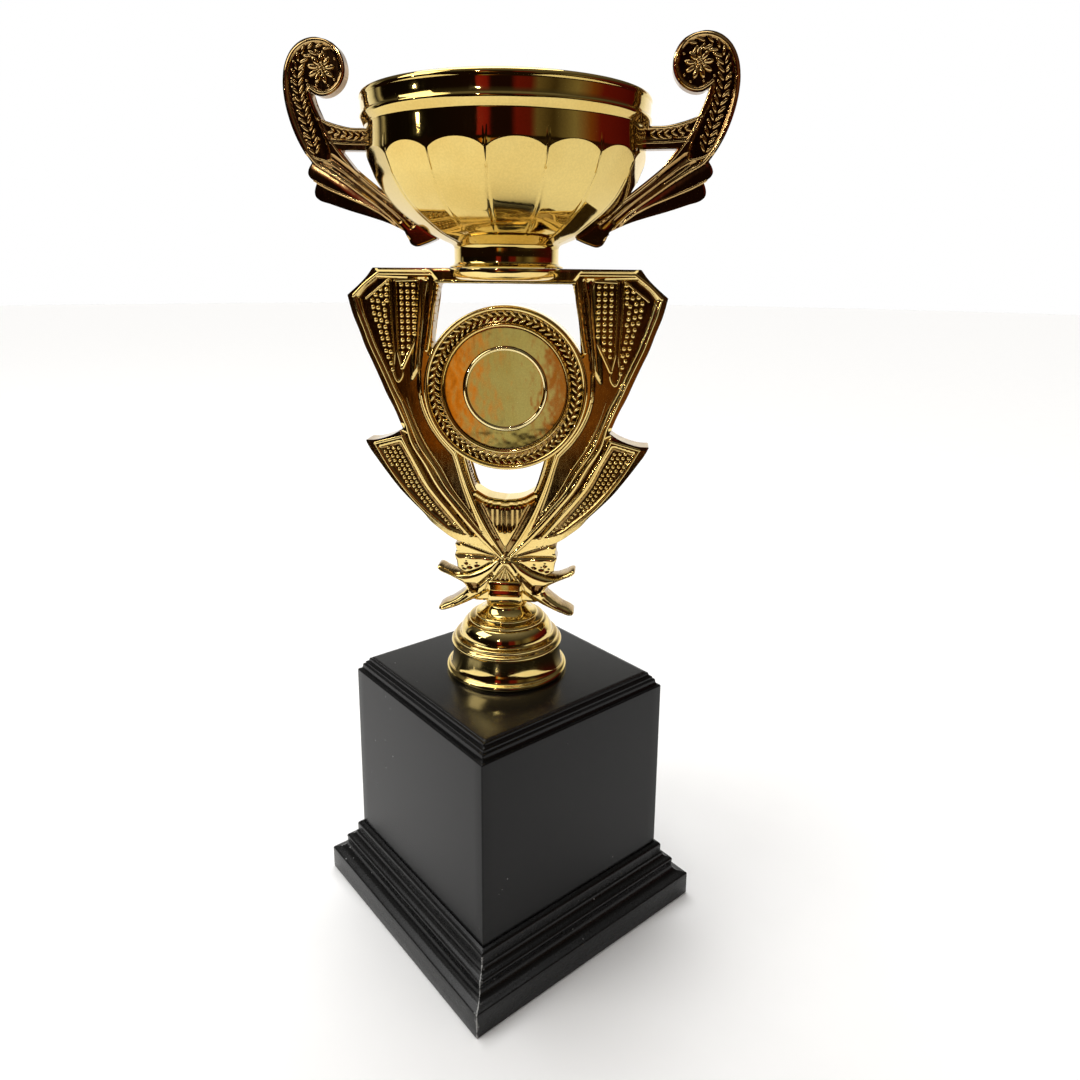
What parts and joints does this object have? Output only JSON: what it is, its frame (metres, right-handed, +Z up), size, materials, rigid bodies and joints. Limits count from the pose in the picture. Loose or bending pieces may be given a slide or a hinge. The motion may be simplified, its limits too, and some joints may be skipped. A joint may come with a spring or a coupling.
{
  "type": "cup trophy",
  "caption": "Cup trophy: scalloped open bowl with two scroll handles on a pierced flat riser with a round centre seat, turned collar and square stepped plinth.",
  "frame": {"origin": "centre of the plinth's underside, on the surface the trophy stands on", "axes": "+Z up through the column and bowl; the flat riser and both handles lie in the XZ plane, -Y is the front face, and the plinth is turned 45 degrees so that one corner points to the front"},
  "size_m": [0.1738, 0.1668, 0.3658],
  "materials": {
    "plinth_black": "satin black moulded plastic",
    "gold_plate": "mirror-bright vacuum-plated gold",
    "gold_plate_riser": "mirror-bright vacuum-plated gold with cast relief",
    "gold_plate_bowl": "mirror-bright vacuum-plated gold",
    "gold_plate_handle": "mirror-bright vacuum-plated gold with cast relief",
    "zinc_steel": "bright zinc plate"
  },
  "bodies": {
    "root": {"plinth_skirt": "plinth_black", "plinth_box": "plinth_black", "skirt_screws": "zinc_steel", "collar": "gold_plate", "tie_rod": "zinc_steel", "tie_rod_washer": "zinc_steel", "tie_rod_nut": "zinc_steel", "riser_nut": "zinc_steel", "riser": "gold_plate_riser", "bowl": "gold_plate_bowl", "handle_left": "gold_plate_handle", "handle_right": "gold_plate_handle", "handle_screws": "zinc_steel", "bowl_bolt": "zinc_steel", "bowl_washer": "zinc_steel", "bowl_nut": "zinc_steel"}
  },
  "joints": []
}
